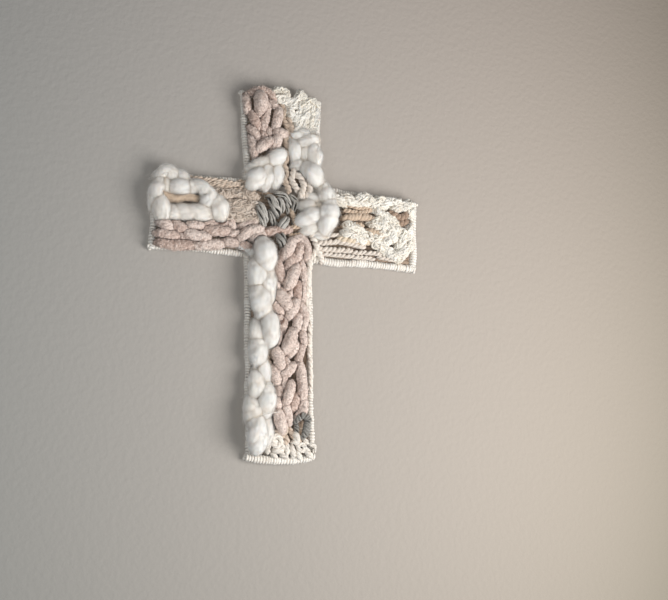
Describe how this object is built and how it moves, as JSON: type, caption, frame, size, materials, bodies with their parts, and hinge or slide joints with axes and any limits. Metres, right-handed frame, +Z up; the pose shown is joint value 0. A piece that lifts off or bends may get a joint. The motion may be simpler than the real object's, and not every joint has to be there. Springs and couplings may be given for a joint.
{
  "type": "woven wall cross",
  "caption": "Wire cross wound with cream yarn, woven on strings and covered in front with roving, chenille, looped and twisted wools, for hanging on a wall.",
  "frame": {"origin": "where a wall nail carries the cross: under the middle of the wound top bar, at the wall", "axes": "+Z up along the stem, +Y into the wall, +X to the right seen from the front"},
  "size_m": [0.2938, 0.0251, 0.3871],
  "materials": {
    "steel_wire": "thin galvanised wire, hidden under the winding",
    "edge_yarn": "cream worsted yarn wound tightly, one turn beside the other",
    "warp_string": "twisted cotton string",
    "weave_yarn": "taupe and cream wool rows, plain weave",
    "roving": "unspun white wool roving, soft and fibrous",
    "chenille": "blush chenille yarn, short velvety pile",
    "gray_rope": "thick plied charcoal wool",
    "taupe_twist": "thin plied taupe wool",
    "tan_yarn": "soft tan wool",
    "brown_yarn": "soft brown wool",
    "nubby_yarn": "beige slub yarn with small knots",
    "boucle": "off-white boucle yarn in small curls",
    "cream_twist": "cream plied cord",
    "cream_yarn": "soft cream wool",
    "loop_cord": "thick cream cord in loops"
  },
  "bodies": {
    "root": {"frame_wire": "steel_wire", "brace_wire_upper": "steel_wire", "brace_wire_lower": "steel_wire", "edge_wrap_top_end": "edge_yarn", "edge_wrap_top_right": "edge_yarn", "edge_wrap_right_upper": "edge_yarn", "edge_wrap_right_end": "edge_yarn", "edge_wrap_right_lower": "edge_yarn", "edge_wrap_foot_right": "edge_yarn", "edge_wrap_foot_end": "edge_yarn", "edge_wrap_foot_left": "edge_yarn", "edge_wrap_left_lower": "edge_yarn", "edge_wrap_left_end": "edge_yarn", "edge_wrap_left_upper": "edge_yarn", "edge_wrap_top_left": "edge_yarn", "warp_string_top": "warp_string", "warp_string_crossbar": "warp_string", "warp_string_foot": "warp_string", "ground_weave_top": "weave_yarn", "ground_weave_crossbar": "weave_yarn", "ground_weave_foot": "weave_yarn", "roving_top_left": "roving", "roving_top_right": "roving", "roving_left_lower": "roving", "roving_left_upper": "roving", "roving_center": "roving", "roving_foot_upper": "roving", "roving_foot_middle": "roving", "roving_foot_lower": "roving", "chenille_top": "chenille", "chenille_left_row_1": "chenille", "chenille_left_row_2": "chenille", "chenille_left_row_3": "chenille", "chenille_center": "chenille", "chenille_foot_left": "chenille", "chenille_foot_right": "chenille", "chenille_foot_edge": "chenille", "gray_rope_center": "gray_rope", "gray_rope_knot": "gray_rope", "gray_rope_foot": "gray_rope", "cream_loops_foot": "loop_cord", "boucle_top": "boucle", "boucle_right_top": "boucle", "boucle_right_lower": "boucle", "nubby_yarn_left": "nubby_yarn", "brown_yarn_right": "brown_yarn", "tan_yarn_right": "tan_yarn", "tan_yarn_left": "tan_yarn", "tan_yarn_center": "tan_yarn", "taupe_twist_top": "taupe_twist", "taupe_twist_left": "taupe_twist", "taupe_twist_foot": "taupe_twist", "taupe_twist_foot_end": "taupe_twist", "cream_twist_center": "cream_twist", "twisted_rows_right": "cream_twist", "cream_cord_corner": "cream_twist", "cream_cord_foot": "cream_twist", "cream_yarn_right": "cream_yarn"}
  },
  "joints": []
}
